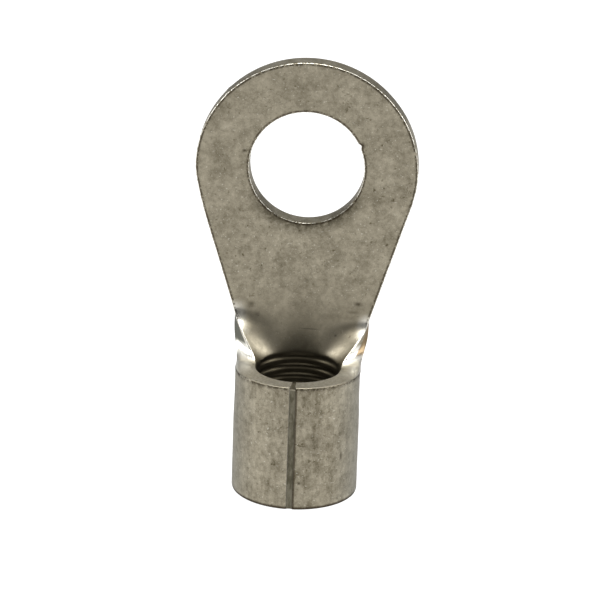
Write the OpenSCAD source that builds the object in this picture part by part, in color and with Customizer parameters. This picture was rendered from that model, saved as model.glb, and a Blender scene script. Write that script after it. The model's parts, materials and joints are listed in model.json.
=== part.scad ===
// Ring terminal without insulation, stamped and rolled from one sheet of tinned copper.
// The barrel stands on its wire end with its axis along +Z and its brazed seam towards -Y.
// The sheet opens flat above the barrel's mouth and ends in a ring for the stud.
// All sizes are in millimetres. The origin is the centre of the wire end.

/* [Sheet] */
// Thickness of the sheet
sheet_t = 1.16; // [0.9:0.02:1.4]

/* [Barrel] */
// Outside diameter of the rolled barrel
barrel_od = 6.95; // [6.2:0.05:8]
// Length from the wire end to the mouth
barrel_len = 7.06; // [5:0.02:10]
// Inside chamfer where the wire goes in
entry_chamfer = 0.3; // [0.05:0.05:0.5]
// Outside edge break at the same end
end_break = 0.14; // [0.04:0.02:0.3]

/* [Seam] */
// Width of the groove along the outside of the brazed seam
seam_w = 0.34; // [0.1:0.02:0.6]
// Depth of that groove
seam_depth = 0.15; // [0.05:0.01:0.3]
// Turn of the seam from the middle of the front, in degrees
seam_turn = -1; // [-6:0.2:6]
// Depth of the fine line that the seam leaves in the bore
seam_line_depth = 0.06; // [0.02:0.01:0.15]

/* [Wire grip] */
// Ring grooves pressed into the bore
grip_count = 5; // [2:1:7]
// Distance from one groove to the next, and from the mouth to the first
grip_pitch = 0.58; // [0.5:0.02:0.64]
// Width of a groove at the bore
grip_w = 0.3; // [0.16:0.02:0.4]
// Depth of a groove
grip_depth = 0.12; // [0.05:0.01:0.2]

/* [Neck] */
// Width of the neck at its narrowest
neck_w = 7.2; // [6.6:0.02:8.4]
// Height of the neck, from the mouth to where the lines of the flanks meet it
neck_h = 1.8; // [1.5:0.05:3]
// Height over which the sheet opens from the barrel's curve to flat
curl_h = 2; // [1.4:0.1:2.8]
// Share of the curl's height that eases it in at each end
curl_ease = 0.05; // [0.02:0.01:0.5]
// Fillet from the neck's edge to the barrel's mouth
lip_r = 0.76; // [0.3:0.02:1.2]
// Fillet from the neck's edge to the flank
flank_r = 7.5; // [2:0.5:10]

/* [Ring] */
// Outside diameter of the ring
ring_od = 12.2; // [10.8:0.1:13.4]
// Distance from the barrel's mouth to the middle of the ring
ring_reach = 10.64; // [9.6:0.02:13]
// Diameter of the stud hole
stud_d = 6.4; // [4.2:0.1:7.4]
// How far the stud hole sits beyond the middle of the ring
stud_rise = 0.14; // [0:0.01:0.4]

/* [Hidden] */
$fn = 96;

barrel_r = barrel_od / 2;
bore_r = barrel_r - sheet_t;
mid_r = barrel_r - sheet_t / 2;
neck_hw = neck_w / 2;
ring_r = ring_od / 2;
ring_z = barrel_len + ring_reach;
cut = 1; // how far a cutting shape runs past what it cuts

// The flank is the tangent to the ring from the neck's upper corner.
flank_rise = ring_reach - neck_h;
flank_run = norm([neck_hw, flank_rise]);
flank_lean = asin(ring_r / flank_run) - atan(neck_hw / flank_rise);
flank_fillet = min(flank_r, (neck_h - lip_r) / tan(flank_lean / 2));
fillet_start = neck_h - flank_fillet * tan(flank_lean / 2);
fillet_end = fillet_start + flank_fillet * sin(flank_lean);

// The neck is built a hair slimmer than the sheet and runs a little way into the
// barrel and the tongue, so that each join is a clean cut through its walls.
hair = 0.004;
lap = 0.1;
lip_steps = 6;
curl_steps = 14;
across_steps = 36;
fillet_steps = 10;

// Half the width of the sheet at height h above the mouth, up to the flank's end
function half_width(h) =
    h <= 0 ? neck_hw + lip_r
    : h < lip_r ? neck_hw + lip_r - sqrt(lip_r * lip_r - (lip_r - h) * (lip_r - h))
    : h < fillet_start ? neck_hw
    : h < fillet_end ? neck_hw + flank_fillet - sqrt(flank_fillet * flank_fillet - pow(h - fillet_start, 2))
    : (ring_r - (ring_reach - h) * sin(flank_lean)) / cos(flank_lean);

// 0 at the mouth and 1 where the sheet is flat, eased at both ends
function opening(s) =
    let (e = curl_ease, k = 2 * e * (1 - e))
    s <= 0 ? 0
    : s >= 1 ? 1
    : s < e ? s * s / k
    : s > 1 - e ? 1 - (1 - s) * (1 - s) / k
    : (s - e / 2) / (1 - e);

// A point of the sheet at u across it and h above the mouth, off its middle by a
// distance towards the front. At each height the sheet follows an arc, which has
// the barrel's radius at the mouth and opens to a straight line.
function sheet_point(u, h, off) =
    let (bend = (1 - opening(h / curl_h)) / mid_r, turn = u * bend * 180 / PI)
    bend < 1e-6 ? [u, mid_r - off, barrel_len + h]
    : [sin(turn) * (1 / bend - off), mid_r - off - (1 - cos(turn)) * (1 / bend - off), barrel_len + h];

// The curl between the barrel and the tongue, as one closed skin
module neck() {
    rows = concat(
        [-lap],
        [for (i = [1:lip_steps]) lip_r * (1 - cos(90 * i / lip_steps))],
        [for (i = [1:curl_steps]) lip_r + (curl_h - lap / 2 - lip_r) * i / curl_steps],
        [curl_h + lap]
    );
    m = len(rows);
    n = across_steps + 1;
    b = m * n; // index of the first point of the back
    points = [for (off = [sheet_t / 2 - hair, hair - sheet_t / 2]) for (h = rows) for (j = [0:across_steps])
        sheet_point((half_width(h) - hair) * (2 * j / across_steps - 1), h, off)];
    faces = concat(
        // Front and back
        [for (i = [0:m - 2]) for (j = [0:n - 2]) each [
            [i * n + j, (i + 1) * n + j, i * n + j + 1],
            [i * n + j + 1, (i + 1) * n + j, (i + 1) * n + j + 1],
            [b + i * n + j, b + i * n + j + 1, b + (i + 1) * n + j],
            [b + i * n + j + 1, b + (i + 1) * n + j + 1, b + (i + 1) * n + j]]],
        // The two cut edges
        [for (i = [0:m - 2]) each [
            [i * n, b + i * n, (i + 1) * n],
            [b + i * n, b + (i + 1) * n, (i + 1) * n],
            [(i + 1) * n - 1, (i + 2) * n - 1, b + (i + 1) * n - 1],
            [b + (i + 1) * n - 1, (i + 2) * n - 1, b + (i + 2) * n - 1]]],
        // The ends, inside the barrel's wall and the tongue
        [for (j = [0:n - 2]) each [
            [j, j + 1, b + j],
            [b + j, j + 1, b + j + 1],
            [b - n + j, 2 * b - n + j, b - n + j + 1],
            [2 * b - n + j, 2 * b - n + j + 1, b - n + j + 1]]]
    );
    polyhedron(points = points, faces = faces);
}

// Outline of the flat part, with the ring above and the end of the curl below
module tongue_outline() {
    heights = concat([curl_h], [for (i = [0:fillet_steps])
        let (h = fillet_start + (fillet_end - fillet_start) * i / fillet_steps) if (h > curl_h + lap) h]);
    edge = concat(
        [for (h = heights) [half_width(h), h]],
        [[ring_r * cos(flank_lean), ring_reach - ring_r * sin(flank_lean)]]
    );
    translate([0, ring_reach]) circle(r = ring_r);
    polygon(concat(
        edge,
        [[0, ring_reach]],
        [for (i = [len(edge) - 1:-1:0]) [-edge[i][0], edge[i][1]]]
    ));
}

module tongue() {
    translate([0, barrel_r, barrel_len]) rotate([90, 0, 0])
        linear_extrude(sheet_t) tongue_outline();
}

module stud_hole() {
    translate([0, barrel_r + cut, ring_z + stud_rise]) rotate([90, 0, 0])
        cylinder(d = stud_d, h = sheet_t + 2 * cut);
}

// Ring grooves that grip the strands once the barrel is crimped
module grip_grooves() {
    half_floor = grip_w / 4;
    for (i = [1:grip_count]) translate([0, 0, barrel_len - i * grip_pitch])
        rotate_extrude() polygon([
            [bore_r - cut, -grip_w / 2], [bore_r, -grip_w / 2], [bore_r + grip_depth, -half_floor],
            [bore_r + grip_depth, half_floor], [bore_r, grip_w / 2], [bore_r - cut, grip_w / 2]]);
}

module seam() {
    rotate([0, 0, seam_turn]) {
        translate([-seam_w / 2, -barrel_r - cut, -cut])
            cube([seam_w, cut + seam_depth, barrel_len + 2 * cut]);
        translate([-seam_line_depth, -bore_r - seam_line_depth, -cut])
            cube([2 * seam_line_depth, bore_r, barrel_len + 2 * cut]);
    }
}

module barrel() {
    difference() {
        rotate_extrude() polygon([
            [bore_r + entry_chamfer, 0], [barrel_r - end_break, 0], [barrel_r, end_break],
            [barrel_r, barrel_len], [bore_r, barrel_len], [bore_r, entry_chamfer]]);
        grip_grooves();
        seam();
    }
}

module ring_terminal() {
    color([0.72, 0.70, 0.66]) difference() {
        union() {
            barrel();
            neck();
            tongue();
        }
        stud_hole();
    }
}

ring_terminal();
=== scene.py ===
import bpy
import bmesh
import json
import math
from mathutils import Matrix, Vector, noise
from mathutils.kdtree import KDTree


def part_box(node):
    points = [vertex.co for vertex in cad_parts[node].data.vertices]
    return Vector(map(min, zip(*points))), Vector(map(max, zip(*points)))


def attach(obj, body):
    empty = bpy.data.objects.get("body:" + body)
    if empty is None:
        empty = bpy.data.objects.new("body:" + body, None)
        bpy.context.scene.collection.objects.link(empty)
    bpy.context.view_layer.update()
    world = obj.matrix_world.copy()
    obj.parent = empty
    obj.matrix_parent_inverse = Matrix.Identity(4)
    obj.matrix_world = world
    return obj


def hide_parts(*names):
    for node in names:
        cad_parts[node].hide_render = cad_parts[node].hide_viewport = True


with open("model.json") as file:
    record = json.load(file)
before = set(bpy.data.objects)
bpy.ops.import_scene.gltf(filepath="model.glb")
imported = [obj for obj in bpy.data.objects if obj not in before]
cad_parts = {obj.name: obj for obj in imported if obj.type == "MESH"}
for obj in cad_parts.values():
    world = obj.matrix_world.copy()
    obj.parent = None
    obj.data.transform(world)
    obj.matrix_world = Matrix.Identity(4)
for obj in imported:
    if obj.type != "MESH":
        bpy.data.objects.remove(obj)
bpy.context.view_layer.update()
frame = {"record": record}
mm = 0.001
tiny = 1e-7  # places nearer than this are the same

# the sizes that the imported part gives
mounts = {m["name"]: m for m in frame["record"]["mounts"]}
stud, wireBore = mounts["stud_hole"], mounts["wire_barrel"]
lowCorner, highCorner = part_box("ring_terminal")
sheetT = stud["dims"]["length_mm"] * mm
studR = stud["dims"]["r_mm"] * mm
studZ = stud["pos_m"][2]
boreR = wireBore["dims"]["r_mm"] * mm
mouthZ = wireBore["pos_m"][2] + wireBore["dims"]["length_mm"] * mm / 2
barrelR = boreR + sheetT
midR = barrelR - sheetT / 2
ringR = (highCorner[0] - lowCorner[0]) / 2
ringZ = highCorner[2] - ringR

view = {
    "azimuth": 3.038, "elevation": 19.725, "roll": 1.893,  # degrees
    "distance": 191.464 * mm, "lens": 210.24,
    "aim": (-0.002 * mm, 0.0, 11.017 * mm), "sensor": 36, "nearest": 0.01,
}


def addCamera(spec):
    az, el = math.radians(spec["azimuth"]), math.radians(spec["elevation"])
    back = Vector((math.sin(az) * math.cos(el), -math.cos(az) * math.cos(el), math.sin(el)))
    camData = bpy.data.cameras.new("camera")
    camData.lens = spec["lens"]
    camData.sensor_width = spec["sensor"]
    camData.clip_start = spec["nearest"]
    camera = bpy.data.objects.new("camera", camData)
    bpy.context.scene.collection.objects.link(camera)
    right = Vector((math.cos(az), math.sin(az), 0))
    up = back.cross(right)
    turn = Matrix((right, up, back)).transposed()
    camera.location = Vector(spec["aim"]) + back * spec["distance"]
    camera.rotation_euler = (turn @ Matrix.Rotation(math.radians(spec["roll"]), 3, "Z")).to_euler()
    bpy.context.scene.camera = camera


addCamera(view)
bpy.context.scene.view_settings.view_transform = "Standard"
print("camera placed")

# The sheet is modelled as it is made: a flat blank gets its thickness, edges and grooves,
# and is rolled last. While it is flat, X runs across it, Y from the wire end to the ring
# and Z towards the front.
blank = {
    "neckColumns": 48, "sideColumns": 34, "flankPoints": 36, "arcPoints": 190, "ringLoops": 20,
    "wallSteps": 5, "plainRow": 0.24 * mm, "grooveRow": 0.058 * mm, "mouthRow": 0.117 * mm,
    "neckRow": 0.11 * mm, "neckTop": 3.0 * mm, "seamGap": 0.26 * mm, "seamTurn": -1.08,
    "frontRound": 0.07 * mm, "backRound": 0.08 * mm, "roundSteps": 3,
    "entryChamfer": 0.3 * mm, "endRound": 0.16 * mm, "holeBurr": 0.04 * mm, "waist": 0.010,
    # how the ring's outline strays from true: angle, half its spread, depth
    "strays": [(193, 16, -0.06 * mm), (137, 2.2, 0.025 * mm)],
    "firstRows": [0.16 * mm, 0.32 * mm], "lipRows": 0.3 * mm, "weld": 1e-6,
    "cornerReach": 1.7, "cornerPasses": 30,  # the mesh is evened out round each lip fillet
    "evenShare": 0.65,  # how evenly the ring's loops lie, or closer at both rims
}
# each side of the neck: half width, its height, the fillets, and how its curl opens
leftNeck = {
    "half": 3.62 * mm, "neckH": 1.926 * mm, "lipR": 0.691 * mm, "flankR": 7.25 * mm,
    "curl": 2.852 * mm, "early": 0.155 * mm, "easeIn": 0.0615, "easeOut": 0.35,
}
rightNeck = {
    "half": 3.575 * mm, "neckH": 1.572 * mm, "lipR": 0.636 * mm, "flankR": 6.92 * mm,
    "curl": 2.458 * mm, "early": 0.30 * mm, "easeIn": 0.209, "easeOut": 0.35,
}
grip = {
    "count": 6, "pitch": 0.57 * mm, "width": 0.34 * mm, "depth": 0.06 * mm, "first": -0.2 * mm,
    "floor": 0.35, "neckFrom": 3.2 * mm, "neckTo": 3.6 * mm, "wallShare": 0.3,
}
seamShift = -midR * math.radians(blank["seamTurn"])


def flankFacts(side):
    reach = ringZ - mouthZ
    rise = reach - side["neckH"]
    side["lean"] = math.asin(ringR / math.hypot(side["half"], rise)) - math.atan(side["half"] / rise)
    side["start"] = side["neckH"] - side["flankR"] * math.tan(side["lean"] / 2)
    side["end"] = side["start"] + side["flankR"] * math.sin(side["lean"])


flankFacts(leftNeck)
flankFacts(rightNeck)


def sideOf(x):
    return leftNeck if x < 0 else rightNeck


def smooth(low, high, value):
    t = min(1.0, max(0.0, (value - low) / (high - low)))
    return t * t * (3 - 2 * t)


def halfWidth(rise, side):
    if rise < side["start"]:
        return side["half"]
    if rise < side["end"]:
        return side["half"] + side["flankR"] - math.sqrt(side["flankR"] ** 2 - (rise - side["start"]) ** 2)
    return (ringR - (ringZ - mouthZ - rise) * math.sin(side["lean"])) / math.cos(side["lean"])


def seamReach(sign):  # how far the sheet runs to each side before it meets itself
    return math.pi * midR + sign * seamShift - blank["seamGap"] / 2


def editMesh(obj):
    return bmesh.from_edit_mesh(obj.data)


def selectEdges(obj, test):
    bpy.ops.mesh.select_mode(type="EDGE")
    bpy.ops.mesh.select_all(action="DESELECT")
    mesh = editMesh(obj)
    for edge in mesh.edges:
        if test(edge):
            edge.select_set(True)
    bmesh.update_edit_mesh(obj.data)


def selectPoints(obj, test):
    bpy.ops.mesh.select_mode(type="VERT")
    bpy.ops.mesh.select_all(action="DESELECT")
    mesh = editMesh(obj)
    for v in mesh.verts:
        if test(v):
            v.select_set(True)
    bmesh.update_edit_mesh(obj.data)


def push(dx=0.0, dy=0.0, dz=0.0):
    bpy.ops.mesh.extrude_region_move(TRANSFORM_OT_translate={"value": (dx, dy, dz)})


def stepsBetween(low, high, step):
    count = max(1, round((high - low) / step))
    return [low + (high - low) * (i + 1) / count for i in range(count)]


def barrelRows():
    rows = list(blank["firstRows"])
    grooved = mouthZ - grip["first"] - (grip["count"] - 0.4) * grip["pitch"]
    fineTop = mouthZ - grip["first"] - grip["pitch"] / 2 - 0.04 * mm
    rows += stepsBetween(rows[-1], grooved, blank["plainRow"])
    rows += stepsBetween(grooved, fineTop, blank["grooveRow"])
    return rows + stepsBetween(fineTop, mouthZ, blank["mouthRow"])


def addBarrelAndNeck():
    rows = barrelRows()
    edge = leftNeck["half"]
    bpy.ops.object.select_all(action="DESELECT")
    bpy.ops.mesh.primitive_grid_add(x_subdivisions=blank["neckColumns"], y_subdivisions=1, size=1)
    sheet = bpy.context.object
    sheet.name = "terminalSheet"
    bpy.ops.object.mode_set(mode="EDIT")
    bpy.ops.mesh.select_all(action="SELECT")
    bpy.ops.transform.resize(value=(2 * edge, rows[0], 1))
    bpy.ops.transform.translate(value=(0, rows[0] / 2, 0))
    selectEdges(sheet, lambda e: all(abs(v.co.y - rows[0]) < tiny for v in e.verts))
    rows += stepsBetween(mouthZ, mouthZ + blank["lipRows"], blank["mouthRow"])
    rows += stepsBetween(rows[-1], mouthZ + blank["neckTop"], blank["neckRow"])
    for low, high in zip(rows, rows[1:]):
        push(dy=high - low)
    # the barrel's wall goes on to both sides, up to the seam
    for sign in (-1, 1):
        selectEdges(sheet, lambda e: all(
            abs(v.co.x - sign * edge) < tiny and v.co.y < mouthZ + tiny for v in e.verts))
        for i in range(blank["sideColumns"]):
            push(dx=sign * (seamReach(sign) - edge) / blank["sideColumns"])
    # each row takes the outline's width
    mesh = editMesh(sheet)
    for v in mesh.verts:
        sign = math.copysign(1, v.co.x)
        side = sideOf(v.co.x)
        share = abs(v.co.x) / edge
        if v.co.y > mouthZ + tiny or share <= 1 + 1e-6:
            v.co.x = sign * share * halfWidth(v.co.y - mouthZ, side)
        else:
            grown = (abs(v.co.x) - edge) / (seamReach(sign) - edge)
            v.co.x = sign * (side["half"] + grown * (seamReach(sign) - side["half"]))
    # the fillets between the mouth and the neck's edges
    rim = [v for v in mesh.verts if v.is_boundary and v.co.y > mouthZ - tiny]
    for v in rim:
        sign, side = math.copysign(1, v.co.x), sideOf(v.co.x)
        r = side["lipR"]
        across, above = abs(v.co.x) - side["half"], v.co.y - mouthZ
        onMouth = above < tiny
        if -1e-6 < across < (r if onMouth else 1e-6) and above < r:
            part = 0.5 * (1 - across / r) if onMouth else 0.5 * (1 + above / r)
            v.co.x = sign * (side["half"] + r * (1 - math.sin(part * math.pi / 2)))
            v.co.y = mouthZ + r * (1 - math.cos(part * math.pi / 2))
    bmesh.update_edit_mesh(sheet.data)

    def nearCorner(v):
        side = sideOf(v.co.x)
        corner = Vector((math.copysign(side["half"], v.co.x), mouthZ, 0))
        return not v.is_boundary and (v.co - corner).length < blank["cornerReach"] * side["lipR"]
    selectPoints(sheet, nearCorner)
    bpy.ops.mesh.vertices_smooth(factor=0.5, repeat=blank["cornerPasses"])
    bpy.ops.object.mode_set(mode="OBJECT")
    return sheet


def ringOutline():  # the outline around the stud hole, from the neck's lower left anticlockwise
    columns = blank["neckColumns"]
    top = mouthZ + blank["neckTop"]
    points = []
    for i in range(columns):
        x = 2 * i / columns - 1
        points.append((x * halfWidth(blank["neckTop"], sideOf(x)), top))
    for sign, side in ((1, rightNeck), (-1, leftNeck)):
        flank = []
        tangent = ringZ - ringR * math.sin(side["lean"])
        for i in range(blank["flankPoints"]):
            y = top + (tangent - top) * i / blank["flankPoints"]
            flank.append((sign * halfWidth(y - mouthZ, side), y))
        if sign > 0:
            points += flank
            span = math.pi + leftNeck["lean"] + rightNeck["lean"]
            for i in range(blank["arcPoints"]):
                angle = -rightNeck["lean"] + span * i / blank["arcPoints"]
                points.append((ringR * math.cos(angle), ringZ + ringR * math.sin(angle)))
        else:
            tangentPoint = (-ringR * math.cos(side["lean"]), tangent)
            points += [tangentPoint] + flank[:0:-1]
    return points


def addRing():
    outline = []
    for x, y in ringOutline():
        around = math.degrees(math.atan2(y - ringZ, x)) % 360
        stray = 0.0
        for at, spread, depth in blank["strays"]:
            stray += depth * (1 - smooth(0, spread, abs(around - at)))
        outline.append((math.atan2(y - studZ, x), math.hypot(x, y - studZ) + stray))
    bpy.ops.object.select_all(action="DESELECT")
    holeR = studR - blank["holeBurr"]
    bpy.ops.mesh.primitive_circle_add(vertices=len(outline), radius=holeR)
    ring = bpy.context.object
    bpy.ops.object.mode_set(mode="EDIT")
    mesh = editMesh(ring)
    mesh.verts.ensure_lookup_table()
    for v, (angle, reach) in zip(mesh.verts, outline):
        v.co = (holeR * math.cos(angle), holeR * math.sin(angle), 0)
    bmesh.update_edit_mesh(ring.data)
    bpy.ops.mesh.select_all(action="SELECT")
    for loop in range(1, blank["ringLoops"] + 1):
        push()
        bpy.ops.transform.resize(value=(1 + 0.5 / loop, 1 + 0.5 / loop, 1))
        mesh = editMesh(ring)
        for v in mesh.verts:
            if v.select:
                at = math.atan2(v.co.y, v.co.x)
                angle, reach = min(outline, key=lambda row: abs(row[0] - at))
                part = loop / blank["ringLoops"]
                eased = 0.5 - 0.5 * math.cos(math.pi * part)
                part = blank["evenShare"] * part + (1 - blank["evenShare"]) * eased
                grown = holeR + (reach - holeR) * part
                v.co = (grown * math.cos(angle), grown * math.sin(angle), 0)
        bmesh.update_edit_mesh(ring.data)
    bpy.ops.mesh.select_all(action="SELECT")
    bpy.ops.transform.translate(value=(0, studZ, 0))
    bpy.ops.object.mode_set(mode="OBJECT")
    return ring


def joinPieces(first, second):
    bpy.ops.object.select_all(action="DESELECT")
    second.select_set(True)
    first.select_set(True)
    bpy.context.view_layer.objects.active = first
    bpy.ops.object.join()
    bpy.ops.object.mode_set(mode="EDIT")
    bpy.ops.mesh.select_all(action="SELECT")
    bpy.ops.mesh.remove_doubles(threshold=blank["weld"])
    bpy.ops.mesh.normals_make_consistent(inside=False)
    bpy.ops.object.mode_set(mode="OBJECT")


def giveThickness(sheet):
    bpy.ops.object.mode_set(mode="EDIT")
    bpy.ops.mesh.select_mode(type="FACE")
    bpy.ops.mesh.select_all(action="SELECT")
    bpy.ops.transform.translate(value=(0, 0, -sheetT / 2))
    for i in range(blank["wallSteps"]):
        push(dz=sheetT / blank["wallSteps"])
    bpy.ops.mesh.select_all(action="SELECT")
    bpy.ops.mesh.normals_make_consistent(inside=False)
    for sign, radius in ((1, blank["frontRound"]), (-1, blank["backRound"])):
        def onRim(edge):
            tilts = sorted(face.normal.z * sign for face in edge.link_faces)
            return len(tilts) == 2 and tilts[0] < 0.2 and tilts[1] > 0.9
        selectEdges(sheet, onRim)
        bpy.ops.mesh.bevel(offset=radius, segments=blank["roundSteps"], affect="EDGES", clamp_overlap=False)
    bpy.ops.object.mode_set(mode="OBJECT")


sheet = addBarrelAndNeck()
ring = addRing()
joinPieces(sheet, ring)
giveThickness(sheet)
print("blank modelled", len(sheet.data.vertices), "points")


def opening(rise, side):  # 0 on the barrel, 1 where the sheet is flat
    s = (rise + side["early"]) / side["curl"]
    a, c = side["easeIn"], side["easeOut"]
    slope = 1 / (1 - a / 2 - c / 2)
    if s <= 0:
        return 0.0
    if s >= 1:
        return 1.0
    if s < a:
        return slope * s * s / (2 * a)
    if s > 1 - c:
        return 1 - slope * (1 - s) ** 2 / (2 * c)
    return slope * (s - a / 2)


rolling = {
    "middle": 2 * mm, "lipTop": 0.4 * mm, "roundFrom": 3.4 * mm, "roundTo": 4.9 * mm,
    # the barrel is slimmer between these heights above the mouth
    "waistIn": (-3.2 * mm, -1.2 * mm), "waistOut": (-0.3 * mm, 0.5 * mm),
}


def rollPoint(u, y, off):
    rise = y - mouthZ
    toRight = smooth(-rolling["middle"], rolling["middle"], u)
    opened = (1 - toRight) * opening(rise, leftNeck) + toRight * opening(rise, rightNeck)
    if rise < rolling["lipTop"]:  # the barrel's lip stays round away from the neck
        opened *= 1 - smooth(rolling["roundFrom"], rolling["roundTo"], abs(u))
    bend = (1 - opened) / midR
    turn = u * bend
    if bend < 1e-4:
        return Vector((u, midR - off, y))
    reach = 1 / bend - off
    slim = smooth(*rolling["waistIn"], rise) - smooth(*rolling["waistOut"], rise)
    across = math.sin(turn) * reach * (1 - blank["waist"] * slim)
    return Vector((across, midR - off - (1 - math.cos(turn)) * reach, y))


def keepFlatPlaces(obj):  # each point's flat place, direction and distance from the cut edges
    mesh = obj.data
    places, tilts, rimAways = [], [], []
    onRim = [abs(v.normal.z) < 0.1 for v in mesh.vertices]
    rim = []
    for edge in mesh.edges:
        first, second = [mesh.vertices[i].co for i in edge.vertices]
        if onRim[edge.vertices[0]] and onRim[edge.vertices[1]]:
            rim += [first.lerp(second, i / 6) for i in range(6)]
    tree = KDTree(len(rim))
    for i, point in enumerate(rim):
        tree.insert((point.x, point.y, 0), i)
    tree.balance()
    for v in mesh.vertices:
        places += [v.co.x / mm, (v.co.y - mouthZ) / mm, v.co.z / mm]
        tilts += list(v.normal)
        rimAways.append(tree.find((v.co.x, v.co.y, 0))[2] / mm)
    for name, values in (("flatPlace", places), ("flatTilt", tilts)):
        layer = mesh.attributes.new(name, "FLOAT_VECTOR", "POINT")
        layer.data.foreach_set("vector", values)
    layer = mesh.attributes.new("rimAway", "FLOAT", "POINT")
    layer.data.foreach_set("value", rimAways)


def shapeWireEnd(obj):
    for v in obj.data.vertices:
        y, half = v.co.y, sheetT / 2
        if y < blank["entryChamfer"] and v.co.z > 0:
            r = blank["entryChamfer"]
            drop = 0.8 * (r - math.sqrt(max(0.0, r * r - (r - y) ** 2)))
            v.co.z -= drop * v.co.z / half
        if y < blank["endRound"] and v.co.z < 0:
            r = blank["endRound"]
            drop = r - math.sqrt(max(0.0, r * r - (r - y) ** 2))
            v.co.z -= drop * v.co.z / half


lip = {"outerRise": 0.12 * mm, "innerRise": 0.045 * mm, "from": 4.6 * mm, "to": 7 * mm, "depth": 1.2 * mm,
       "burr": 0.03 * mm, "burrStep": 0.22 * mm}
nick = {"angle": 25.4, "spread": 4.0, "depth": 0.09 * mm, "reach": 0.35 * mm}


def raiseLip(obj):  # the cut left the lip a little proud along its outer edge
    for v in obj.data.vertices:
        rise = v.co.y - mouthZ
        share = smooth(-lip["depth"], 0, rise) * smooth(lip["from"], lip["to"], abs(v.co.x))
        outward = 0.5 - v.co.z / sheetT
        burr = lip["burr"] * noise.noise(Vector((v.co.x / lip["burrStep"], 3.1, 0)))
        burr *= max(0.0, outward * 2 - 1)
        v.co.y += share * (lip["innerRise"] + (lip["outerRise"] - lip["innerRise"]) * outward + burr)


def nickHole(obj):  # a nick in the stud hole's rim, deeper at the front
    for v in obj.data.vertices:
        across, above = v.co.x, v.co.y - studZ
        reach = math.hypot(across, above)
        if reach > studR + nick["reach"] or reach < 1e-6:
            continue
        away = abs(math.degrees(math.atan2(above, across)) - nick["angle"]) / nick["spread"]
        if away < 1:
            share = (1 - smooth(0, 1, away)) * (1 - smooth(0, nick["reach"], reach - studR))
            share *= 0.4 + 0.6 * smooth(-0.5, 0.5, v.co.z / sheetT)
            v.co.x += across / reach * nick["depth"] * share
            v.co.y += above / reach * nick["depth"] * share


def pressGrooves(obj):
    for v in obj.data.vertices:
        if v.co.z < grip["wallShare"] * sheetT:
            continue
        for i in range(grip["count"]):
            centre = mouthZ + grip["first"] - i * grip["pitch"]
            away = abs(v.co.y - centre) / (grip["width"] / 2)
            inner = 1 if i else 1 - smooth(grip["neckFrom"], grip["neckTo"], abs(v.co.x))
            if away < 1:
                v.co.z -= grip["depth"] * inner * (1 - smooth(grip["floor"], 1, away))


def roll(obj):
    for v in obj.data.vertices:
        v.co = rollPoint(*v.co)


keepFlatPlaces(sheet)
shapeWireEnd(sheet)
pressGrooves(sheet)
raiseLip(sheet)
nickHole(sheet)
roll(sheet)
print("sheet rolled")

braze = {"columns": 8, "rows": 60, "below": 0.15 * mm, "lap": 0.012 * mm, "lipDrop": 0.03 * mm,
         "endGap": 0.02 * mm, "inner": 0.03 * mm, "steps": 4, "sag": 0.05 * mm, "wave": 0.02 * mm,
         "waveStep": 0.5 * mm, "rootSag": 0.02 * mm}


def addBraze():
    centre = math.pi * midR + seamShift
    half = blank["seamGap"] / 2 + braze["lap"]
    bpy.ops.object.select_all(action="DESELECT")
    bpy.ops.mesh.primitive_grid_add(x_subdivisions=braze["columns"], y_subdivisions=braze["rows"], size=1)
    strip = bpy.context.object
    strip.name = "seamBraze"
    bpy.ops.object.mode_set(mode="EDIT")
    bpy.ops.mesh.select_all(action="SELECT")
    low, high = braze["endGap"], mouthZ - braze["lipDrop"]
    bpy.ops.transform.resize(value=(2 * half, high - low, 1))
    bpy.ops.transform.translate(value=(centre, (low + high) / 2, sheetT / 2 - braze["inner"]))
    for i in range(braze["steps"]):
        push(dz=-(sheetT - braze["inner"] - braze["below"]) / braze["steps"])
    bpy.ops.mesh.select_all(action="SELECT")
    bpy.ops.mesh.normals_make_consistent(inside=False)
    bpy.ops.object.mode_set(mode="OBJECT")
    keepFlatPlaces(strip)
    for v in strip.data.vertices:
        turn = v.co.x / midR
        reach = midR - v.co.z
        side = (v.co.x - centre) / half
        wave = braze["wave"] * noise.noise(Vector((v.co.y / braze["waveStep"], side, 0)))
        if v.co.z < -0.3 * sheetT:  # the outside sags between the edges
            reach -= braze["sag"] * (1 - side * side) + wave
        if v.co.z > 0.3 * sheetT:
            reach += braze["rootSag"] * (1 - side * side)
        v.co = (math.sin(turn) * reach, math.cos(turn) * reach, v.co.y)
    return strip


strip = addBraze()
print("seam brazed")


class Value:
    # a socket's value, which takes part in plain expressions
    def __init__(self, finish, socket):
        self.finish, self.socket = finish, socket

    def __add__(self, other):
        return self.finish.math("ADD", self, other)

    def __radd__(self, other):
        return self.finish.math("ADD", other, self)

    def __sub__(self, other):
        return self.finish.math("SUBTRACT", self, other)

    def __rsub__(self, other):
        return self.finish.math("SUBTRACT", other, self)

    def __mul__(self, other):
        return self.finish.math("MULTIPLY", self, other)

    def __rmul__(self, other):
        return self.finish.math("MULTIPLY", other, self)

    def __truediv__(self, other):
        return self.finish.math("DIVIDE", self, other)


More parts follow.
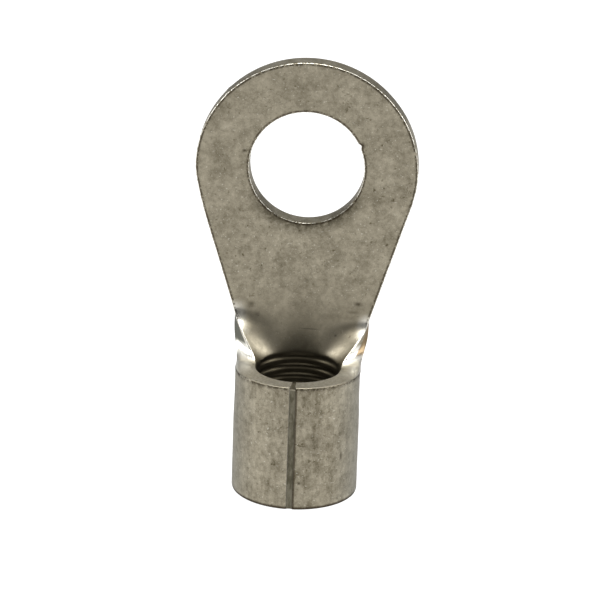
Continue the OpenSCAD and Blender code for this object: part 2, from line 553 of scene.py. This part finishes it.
class Finish:
    def __init__(self, name):
        self.material = bpy.data.materials.new(name)
        self.material.use_nodes = True
        self.tree = self.material.node_tree
        self.tree.nodes.clear()

    def node(self, kind, settings=None, inputs=None, output=0):
        made = self.tree.nodes.new("ShaderNode" + kind)
        for key, value in (settings or {}).items():
            setattr(made, key, value)
        for key, value in (inputs or {}).items():
            if isinstance(value, Value):
                self.tree.links.new(value.socket, made.inputs[key])
            else:
                made.inputs[key].default_value = value
        return Value(self, made.outputs[output]) if made.outputs else made

    def math(self, operation, *values):
        return self.node("Math", {"operation": operation}, dict(enumerate(values)))

    def ramp(self, value, low, high, toLow=0.0, toHigh=1.0):  # an eased step from low to high
        return self.node("MapRange", {"interpolation_type": "SMOOTHSTEP"}, {
            "Value": value, "From Min": low, "From Max": high, "To Min": toLow, "To Max": toHigh})

    def bump(self, value, centre, width):  # 1 at the centre, 0 from the width on
        away = self.math("ABSOLUTE", value - centre)
        return self.ramp(away, 0.0, width, 1.0, 0.0)

    def mix(self, share, first, second, blend="MIX"):
        settings = {"data_type": "RGBA", "blend_type": blend}
        return self.node("Mix", settings, {0: share, 6: first, 7: second}, 2)

    def parts(self, vector):
        made = self.node("SeparateXYZ", {}, {0: vector})
        outputs = made.socket.node.outputs
        return [Value(self, outputs[i]) for i in range(3)]

    def stretched(self, vector, scale, shift=(0, 0, 0)):
        return self.node("Mapping", {}, {"Vector": vector, "Scale": scale, "Location": shift})

    def noise(self, vector, scale, detail=2.0, rough=0.5):
        return self.node("TexNoise", {}, {
            "Vector": vector, "Scale": scale, "Detail": detail, "Roughness": rough})


def rgb(red, green, blue):  # a colour from its sRGB values, 0 to 255
    def linear(c):
        c /= 255
        return c / 12.92 if c <= 0.04045 else ((c + 0.055) / 1.055) ** 2.4
    return (linear(red), linear(green), linear(blue), 1)


tin = {
    "dark": rgb(90, 83, 66), "pale": rgb(170, 163, 145), "fleck": rgb(196, 192, 180),
    "grimeAndShade": rgb(50, 42, 30), "cut": rgb(226, 224, 216), "highlightPaint": rgb(235, 232, 222),
    "facet": rgb(104, 104, 96), "brown": rgb(128, 112, 88), "bore": rgb(58, 52, 36),
    "shadeDark": rgb(62, 57, 44), "grey": rgb(150, 150, 144), "roughness": 0.4, "contrast": 1.6,
    # reaches in mm: from the cut edges, above the mouth, from the seam, from the hole, to the side
    "litRim": (0.1, 0.03), "shadedRim": (0.19, 0.09), "underLip": (-0.28, -0.08), "endBand": (-6.78, -6.92),
    "seamGrime": (0.2, 0.15), "holeShade": (0.85, 0.05), "lipFrom": (4.4, 6.2),
    # the painted highlight patches: centre and half size to the side, then above the mouth
    "leftPatch": ((3.75, 0.8), (2.1, 1.0)), "rightPatch": ((3.7, 0.75), (1.75, 0.85)),
    # dark spots on the flat sheet: across, above the mouth, half width, half height, strength
    "spots": [
        (6.6, -4.2, 0.12, 0.4, 0.7), (8.72, -5.45, 0.12, 0.14, 0.7), (7.9, -3.1, 0.9, 1.2, 0.22),
        (-3.42, 11.62, 0.2, 0.16, 0.75), (2.98, 12.2, 0.22, 0.3, 0.85), (3.1, 3.05, 0.35, 0.2, 0.7),
        (2.85, 2.55, 0.5, 0.15, 0.4), (-2.85, 2.75, 0.35, 0.3, 0.5), (-2.5, 2.2, 0.25, 0.25, 0.35),
        (0.5, 1.46, 0.75, 0.05, 0.55), (2.05, 1.2, 0.12, 0.1, 0.6), (2.9, 1.25, 0.1, 0.12, 0.5),
    ],
}
seamU = math.pi * midR / mm
holeH = (studZ - mouthZ) / mm


def tinFinish():
    f = Finish("tinnedCopper")
    place = f.node("Attribute", {"attribute_name": "flatPlace"}, {}, 1)
    tilt = f.node("Attribute", {"attribute_name": "flatTilt"}, {}, 1)
    rimAway = f.node("Attribute", {"attribute_name": "rimAway"}, {}, 2)
    u, h, off = f.parts(place)
    facing = f.parts(tilt)[2]
    sideways = f.math("ABSOLUTE", u)
    rightSide = f.ramp(u, -0.5, 0.5)
    leftSide = 1 - rightSide
    wall = f.ramp(f.math("ABSOLUTE", facing), 0.75, 0.35)
    front = f.ramp(facing, 0.2, 0.5)
    onBarrel = f.ramp(h, 0.25, -0.1)
    outside = (1 - front) * (1 - wall) * onBarrel
    fromSeam = seamU - sideways

    # mottled tin: much the same contrast at every size, calmer down in the valley
    mottle = f.noise(place, 0.95, 5.0, 0.92)
    streak = f.noise(f.stretched(place, (2.6, 0.8, 1.0), (3.1, 7.7, 0.0)), 1.0, 5.0, 0.85)
    speck = f.noise(place, 9.0, 1.0, 0.5)
    pit = f.noise(place, 4.2, 2.0, 0.6)
    calm = 1 - front * f.ramp(h, 5.0, 1.5) * 0.65
    tone = 0.5 + (mottle - 0.5) * calm * tin["contrast"] + (streak - 0.5) * outside * 1.5
    cluster = f.bump(u, 2.05, 0.7) * f.bump(h, 14.7, 0.9)
    # pits darken the tone; the barrel's outside is also a little darker on the right, painted shade
    tone = tone - f.ramp(pit + cluster * 0.12, 0.64, 0.74) * calm * 0.35 - outside * rightSide * 0.06
    colour = f.mix(tone, tin["dark"], tin["pale"])
    colour = f.mix(f.ramp(speck, 0.66, 0.78) * calm * 0.55, colour, tin["fleck"])

    # painted reflection: the barrel's flanks are coloured a lighter, cooler grey where they turn to the side
    greyer = (1 - front) * (1 - wall) * f.bump(sideways, 5.0, 2.6)
    colour = f.mix(greyer * 0.4, colour, tin["grey"])

    # cut faces: painted highlight where they turn up near the mouth, painted shade in grey above it on the
    # left, and mottled round the lip
    edgeNoise = f.noise(place, 5.5, 2.0, 0.7)
    lipAway = f.ramp(sideways, *tin["lipFrom"])
    lipWall = wall * onBarrel
    colour = f.mix(lipWall * (0.35 + f.ramp(edgeNoise, 0.35, 0.65) * 0.45), colour, tin["fleck"])
    # painted highlight: the cut faces near the mouth are coloured near white where they turn up to the light
    cutHighlight = wall * f.ramp(h, -0.3, 0.0) * (1 - lipAway) * f.ramp(h, 0.95, 0.7)
    colour = f.mix(cutHighlight, colour, tin["cut"])
    # painted shade: the left cut face higher up is coloured grey where it turns from the light
    facetLeft = leftSide * wall * f.ramp(h, 0.65, 0.9) * f.ramp(h, 2.6, 2.2) * f.ramp(off, 0.45, 0.3)
    colour = f.mix(facetLeft, colour, tin["facet"])
    facetRight = rightSide * wall * f.ramp(h, 0.25, 0.45) * f.ramp(h, 2.4, 1.9) * f.ramp(off, 0.1, -0.1)
    colour = f.mix(facetRight, colour, tin["brown"])

    # painted highlight on the curl's corners and along the edge below them, where they face the light; they
    # are a little smoother there too
    wander = (mottle - 0.5) * 0.9
    corners = leftSide * f.bump(sideways, *tin["leftPatch"][0]) * f.bump(h + wander, *tin["leftPatch"][1])
    rightPatch = f.bump(sideways, *tin["rightPatch"][0]) * f.bump(h + wander, *tin["rightPatch"][1])
    corners = corners + rightSide * rightPatch
    polishAndHighlight = corners * front
    edgeHighlight = f.ramp(rimAway, *tin["litRim"]) * f.ramp(off, 0.35, 0.5)
    edgeHighlight = edgeHighlight * f.ramp(h, 0.0, 0.3) * f.ramp(h, 2.5, 2.0)
    polishAndHighlight = f.math("MAXIMUM", polishAndHighlight, edgeHighlight * f.ramp(sideways, 2.8, 3.3) * 0.8)
    colour = f.mix(polishAndHighlight, colour, tin["highlightPaint"])
    # painted highlight: the front edges' rounding is coloured pale in dots on the ring and upper neck
    bevel = f.ramp(facing, 0.95, 0.75) * f.ramp(facing, 0.15, 0.45) * f.ramp(h, 3.0, 5.0)
    colour = f.mix(bevel * f.ramp(edgeNoise, 0.42, 0.56), colour, tin["highlightPaint"])

    # painted shade round the lower half of the stud hole, where the punched edge rolls in
    fromHole = f.math("SQRT", u * u + (h - holeH) * (h - holeH)) - studR / mm
    below = f.ramp((h - holeH) / (fromHole + studR / mm), -0.25, -0.8)
    holeShade = f.ramp(fromHole, *tin["holeShade"]) * below * front * (0.45 + f.ramp(pit, 0.35, 0.6) * 0.55)
    colour = f.mix(holeShade * 0.8, colour, tin["shadeDark"])

    # painted shade along the front edges and in the bore (with some dirt there), a painted shadow under the
    # lip, grime at the seam, a painted contact shadow at the wire end, and dark spots
    # painted shade: a dark dotted line along the front edges
    edgeLine = f.ramp(rimAway, *tin["shadedRim"]) * f.ramp(edgeNoise, 0.34, 0.5) * f.ramp(facing, 0.85, 0.97)
    colour = f.mix(edgeLine * f.ramp(h, 1.5, 2.5) * 0.85, colour, tin["grimeAndShade"])
    # painted shadow: a dark line under the lip's outer edge, below its burr
    underLip = outside * f.ramp(h, *tin["underLip"]) * f.ramp(edgeNoise, 0.34, 0.6)
    underLip = underLip * f.ramp(h, 0.0, -0.06)
    colour = f.mix(underLip * 0.8, colour, tin["grimeAndShade"])
    atSeam = f.ramp(fromSeam, *tin["seamGrime"]) * (1 - front) * f.ramp(h, 0.0, -0.1)
    colour = f.mix(atSeam * 0.75, colour, tin["grimeAndShade"])
    # painted shade with some dirt: dark inside the bore
    inBore = front * f.ramp(h, 0.35, -0.1)
    colour = f.mix(inBore * 0.75, colour, tin["bore"])
    # painted contact shadow: a dark band along the wire end's bottom edge
    endBand = (1 - front) * f.ramp(h + wander * 0.1, *tin["endBand"])
    colour = f.mix(endBand * 0.9, colour, tin["grimeAndShade"])
    for spotU, spotH, wide, tall, share in tin["spots"]:
        spot = f.bump(u + wander * 0.15, spotU, wide) * f.bump(h, spotH, tall)
        colour = f.mix(spot * share, colour, tin["grimeAndShade"])

    rough = f.ramp(mottle, 0.35, 0.65, tin["roughness"] + 0.08, tin["roughness"] - 0.04)
    rough = rough - polishAndHighlight * 0.14 - cutHighlight * 0.08 + lipWall * lipAway * 0.22
    grain = f.noise(place, 7.0, 3.0, 0.6)
    bumps = f.node("Bump", {}, {"Height": grain * calm, "Strength": 0.35, "Distance": 0.02 * mm})
    shader = f.node("BsdfPrincipled", {}, {
        "Base Color": colour, "Metallic": 1.0, "Roughness": rough, "Normal": bumps,
        "Specular Tint": (0.55, 0.55, 0.55, 1)})
    f.node("OutputMaterial", {}, {"Surface": shader})
    return f.material


def brazeFinish():
    f = Finish("brazeFilm")
    place = f.node("Attribute", {"attribute_name": "flatPlace"}, {}, 1)
    h, off = f.parts(place)[1:]
    tone = f.noise(f.stretched(place, (3.0, 1.2, 1.0)), 1.6, 4.0, 0.6)
    colour = f.mix(f.ramp(tone, 0.35, 0.65), rgb(84, 80, 66), rgb(112, 108, 94))
    # painted shade: the inner face, inside the bore, takes the dark bore colour
    colour = f.mix(f.ramp(off, 0.4, 0.5) * 0.8, colour, tin["bore"])
    colour = f.mix(f.ramp(h, -0.14, -0.06) * 0.85, colour, rgb(150, 144, 128))
    bumps = f.node("Bump", {}, {"Height": tone, "Strength": 0.3, "Distance": 0.02 * mm})
    shader = f.node("BsdfPrincipled", {}, {
        "Base Color": colour, "Metallic": 1.0, "Roughness": 0.45, "Normal": bumps,
        "Specular Tint": (0.55, 0.55, 0.55, 1)})
    f.node("OutputMaterial", {}, {"Surface": shader})
    return f.material


smoothAngle = math.radians(35)
for piece, finish in ((sheet, tinFinish()), (strip, brazeFinish())):
    piece.data.materials.clear()
    piece.data.materials.append(finish)
    bpy.ops.object.select_all(action="DESELECT")
    piece.select_set(True)
    bpy.context.view_layer.objects.active = piece
    bpy.ops.object.shade_smooth_by_angle(angle=smoothAngle)
    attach(piece, "root")
    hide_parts("ring_terminal")
print("tin finish given")

studio = {
    "world": (0.1, 0.1, 0.1), "floorGlow": 1.04, "floorWhite": 0.15, "floorSize": 4.0,
    "lights": [
        # name, direction from the object, distance, size, radiance, colour
        ("overhead", (0.0, -0.25, 1.0), 0.5, 0.34, 8.0, (1.0, 0.99, 0.96)),
        ("behind", (0.0, 1.0, 0.36), 0.6, 0.5, 0.9, (0.97, 0.99, 1.0)),
        ("left", (-1.0, -0.1, 0.55), 0.5, 0.34, 4.5, (1.0, 1.0, 1.0)),
        ("right", (1.0, -0.1, 0.55), 0.5, 0.34, 5.0, (1.0, 1.0, 1.0)),
    ],
}


def addStudio():
    world = bpy.data.worlds.new("studio")
    world.use_nodes = True
    world.node_tree.nodes["Background"].inputs["Color"].default_value = (*studio["world"], 1)
    bpy.context.scene.world = world
    bpy.ops.object.select_all(action="DESELECT")
    bpy.ops.mesh.primitive_plane_add(size=studio["floorSize"])
    floor = bpy.context.object
    floor.name = "floor"
    f = Finish("floorPaper")
    shader = f.node("BsdfPrincipled", {}, {
        "Base Color": (*[studio["floorWhite"]] * 3, 1), "Roughness": 0.9,
        "Emission Color": (1, 1, 1, 1), "Emission Strength": studio["floorGlow"]})
    f.node("OutputMaterial", {}, {"Surface": shader})
    floor.data.materials.append(f.material)
    middle = Vector((0, 0, highCorner[2] / 2))
    for name, way, distance, size, radiance, colour in studio["lights"]:
        light = bpy.data.lights.new(name, "AREA")
        light.shape = "SQUARE"
        light.size = size
        light.energy = radiance * math.pi * size * size
        light.color = colour
        lamp = bpy.data.objects.new(name, light)
        bpy.context.scene.collection.objects.link(lamp)
        lamp.location = middle + Vector(way).normalized() * distance
        lamp.rotation_euler = (lamp.location - middle).to_track_quat("Z", "Y").to_euler()


addStudio()
print("studio lit")
